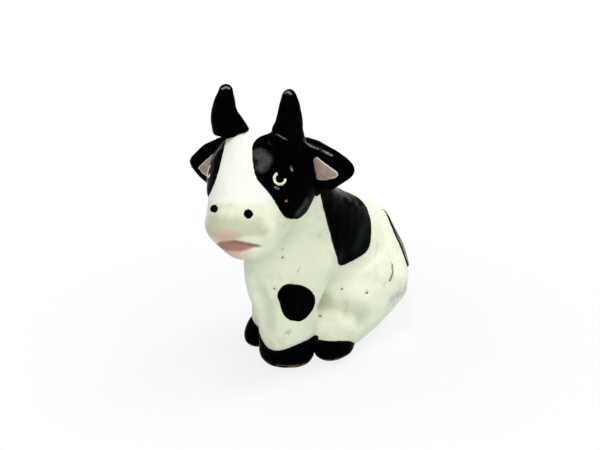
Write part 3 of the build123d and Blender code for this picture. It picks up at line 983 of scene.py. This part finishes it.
def evened(values, quads, rounds):
    """Values at the corners of quads, each averaged with its neighbours a number of times."""
    edges = quad_edges(quads)
    links = np.bincount(edges[:, 0], minlength=len(values)) + np.bincount(edges[:, 1], minlength=len(values))
    for _ in range(rounds):
        total = np.bincount(edges[:, 0], values[edges[:, 1]], len(values))
        total += np.bincount(edges[:, 1], values[edges[:, 0]], len(values))
        values = (values + total / np.maximum(links, 1)) / 2
    return values


def level(points):
    return np.zeros(len(points))


def on_enamel(points):
    return np.full(len(points), ENAMEL_THICK)


def on_root(node):
    return lambda points: root_paint(-sample(regions[node], points))


def dotted(points):
    """How far inside the two dots of the nostrils points lie, as the photograph shows them."""
    u, v = photo_pixels(points)
    gaps = [np.hypot(u - place[0], v - place[1]) / PIXELS_PER_MM for place in NOSTRIL_PLACES]
    return np.maximum(NOSTRIL_SIZES[0] - gaps[0], NOSTRIL_SIZES[1] - gaps[1])


def filled(depth, points, calm, corner):
    """A film's depth, with the space inside some pixels filled up, on the side that the photograph shows."""
    hidden = REACH * smooth_step(*FILL_HIDDEN, calm @ VIEW_BACK)
    within = np.full(len(points), REACH)
    for line in zip(corner, corner[1:] + corner[:1]):
        within = melt(within, right_of(line, *points.T), EDGE_ROUND)
    return np.where(depth > -FILM_ROOM, np.maximum(depth, within - hidden), depth)


def enamel_piece(
    node, slot, material, thick, rounding,
    lift=level, joins=(), outline=None, corner=(), edge=(), trim=0.0, even=0,
):
    """A raised film of enamel on the clay, under the outline of its CAD node."""
    corners, _ = node_mesh(node)
    low, high = corners.min(0) - FILM_ROOM, corners.max(0) + FILM_ROOM
    boxed = np.all((whole_points > low) & (whole_points < high), axis=1)
    quads, points = used(whole_quads[boxed[whole_quads].all(1)], whole_points)
    points, quads = finer(points, quads)
    normals = slopes(clay, points)
    points = points - normals * sample(clay, points)[:, None]
    calm = -slopes(hollows, points)
    if outline:
        depth = outline(points)
    else:
        depth = rim_distance(node, under_view(points, calm), calm, rounding, joins) - trim
    if corner:
        depth = filled(depth, points, calm, corner)
    for line in zip(edge, edge[1:]):
        depth = melt(depth, -right_of(line, *points.T), EDGE_ROUND)
    depth = evened(depth, quads, even)
    quads, points, normals, depth = used(quads[(depth > -SKIRT_WIDTH)[quads].all(1)], points, normals, depth)
    share = np.clip(depth / rounding, -1, 1)
    dome = thick * np.sqrt(np.maximum(1 - (1 - share) ** 2, 0))
    rise = np.where(share > 0, dome, SKIRT_SLOPE * depth)
    for other in joins:
        rise = rise * smooth_step(*JOIN_FADE, sample(regions[other], points))
    top = points + normals * (lift(points) + rise)[:, None]
    bottom = points + normals * (lift(points) - FILM_SINK)[:, None]
    ways = {tuple(way) for way in quad_edges(quads).tolist()}
    rim = np.array(sorted(way for way in ways if way[::-1] not in ways))
    count = len(points)
    sides = np.stack([rim[:, 1], rim[:, 0], rim[:, 0] + count, rim[:, 1] + count], 1)
    faces = np.concatenate([quads, quads[:, ::-1] + count, sides])
    piece = new_piece(f"{node}_film", np.concatenate([top, bottom]), faces, node, material)
    give(piece, "inside", np.concatenate([depth, depth]))
    for name, marks in BLACK_FIELDS.items():
        give(piece, name, np.tile(sample(marks, points), 2))


for side in SIDES:
    horn, ear = f"{side}_horn", f"{side}_ear"
    enamel_piece(
        f"{side}_eye_patch", "black_enamel", BLACK, ENAMEL_THICK, ENAMEL_ROUND,
        joins=(horn, ear), **EYE_PATCHES[side],
    )
    enamel_piece(f"{side}_eye_ring", "cream_paint", CREAM, lift=on_enamel, **EYE_LINE)
    enamel_piece(f"{side}_ear_lining", "pink_paint", PINK, lift=on_root(ear), **LINING)
enamel_piece("nostrils", "black_enamel", BLACK, outline=dotted, **DOT)
for node, limits in PATCHES.items():
    enamel_piece(node, "black_enamel", BLACK, ENAMEL_THICK, ENAMEL_ROUND, **limits)

camera_data = bpy.data.cameras.new("camera")
camera = bpy.data.objects.new("camera", camera_data)
bpy.context.scene.collection.objects.link(camera)
camera.location = VIEW_EYE * MM
camera.rotation_euler = Vector(-VIEW_BACK).to_track_quat("-Z", "Y").to_euler()
camera_data.sensor_width = SENSOR
camera_data.lens = SENSOR * PIXELS_PER_MM * VIEW_DISTANCE / PHOTO_WIDTH
camera_data.clip_start = CLIP_START
bpy.context.scene.camera = camera


def lamp(name, place, size, power, mirrored):
    """A square softbox that points at the cow. Its place and size are in millimetres."""
    data = bpy.data.lights.new(name, "AREA")
    data.size = size * MM
    data.energy = power
    light = bpy.data.objects.new(name, data)
    light.location = np.array(place) * MM
    light.rotation_euler = Vector(VIEW_AIM - np.array(place)).to_track_quat("-Z", "Y").to_euler()
    light.visible_glossy = mirrored
    bpy.context.scene.collection.objects.link(light)


lamp("top", place=(0, -80, 290), size=90, power=0.32, mirrored=True)
lamp("spark", place=(10, -60, 290), size=20, power=0.09, mirrored=True)
lamp("right", place=(120, 170, 230), size=110, power=0.56, mirrored=False)
lamp("front", place=(80, -230, 90), size=140, power=0.25, mirrored=False)

world = bpy.data.worlds.new("studio")
bpy.context.scene.world = world
world.use_nodes = True
world.node_tree.nodes["Background"].inputs["Color"].default_value = (1, 1, 1, 1)
world.node_tree.nodes["Background"].inputs["Strength"].default_value = AMBIENT


def floor_paper():
    """White paper that takes the shadow, and is plain white to the eye further off."""
    material = bpy.data.materials.new("white_paper")
    material.use_nodes = True
    tree = material.node_tree
    shader = tree.nodes["Principled BSDF"]
    shader.inputs["Base Color"].default_value = FLOOR_COLOUR
    shader.inputs["Roughness"].default_value = FLOOR_ROUGH
    shader.inputs["Specular IOR Level"].default_value = 0.0
    glow = tree.nodes.new("ShaderNodeEmission")
    glow.inputs["Strength"].default_value = 1.0
    place = tree.nodes.new("ShaderNodeTexCoord")
    length = tree.nodes.new("ShaderNodeVectorMath")
    length.operation = "LENGTH"
    tree.links.new(place.outputs["Object"], length.inputs[0])
    far = tree.nodes.new("ShaderNodeMapRange")
    far.interpolation_type = "SMOOTHSTEP"
    far.inputs["From Min"].default_value = GLOW_FROM * MM
    far.inputs["From Max"].default_value = GLOW_TO * MM
    far.inputs["To Min"].default_value = GLOW_NEAR
    far.inputs["To Max"].default_value = GLOW_FAR
    tree.links.new(length.outputs["Value"], far.inputs["Value"])
    path = tree.nodes.new("ShaderNodeLightPath")
    seen = path.outputs["Is Camera Ray"]
    for ray in ("Is Glossy Ray", "Is Transmission Ray"):
        either = tree.nodes.new("ShaderNodeMath")
        either.operation = "MAXIMUM"
        tree.links.new(seen, either.inputs[0])
        tree.links.new(path.outputs[ray], either.inputs[1])
        seen = either.outputs["Value"]
    share = tree.nodes.new("ShaderNodeMath")
    share.operation = "MULTIPLY"
    tree.links.new(seen, share.inputs[0])
    tree.links.new(far.outputs["Result"], share.inputs[1])
    both = tree.nodes.new("ShaderNodeMixShader")
    tree.links.new(share.outputs["Value"], both.inputs["Fac"])
    tree.links.new(shader.outputs["BSDF"], both.inputs[1])
    tree.links.new(glow.outputs["Emission"], both.inputs[2])
    tree.links.new(both.outputs["Shader"], tree.nodes["Material Output"].inputs["Surface"])
    return material


floor_mesh = bpy.data.meshes.new("floor")
floor_corners = [(x * FLOOR_HALF, y * FLOOR_HALF, 0) for x, y in ((-1, -1), (1, -1), (1, 1), (-1, 1))]
floor_mesh.from_pydata(floor_corners, [], [(0, 1, 2, 3)])
floor_mesh.materials.append(floor_paper())
floor = bpy.data.objects.new("floor", floor_mesh)
bpy.context.scene.collection.objects.link(floor)

bpy.context.scene.view_settings.view_transform = "Standard"
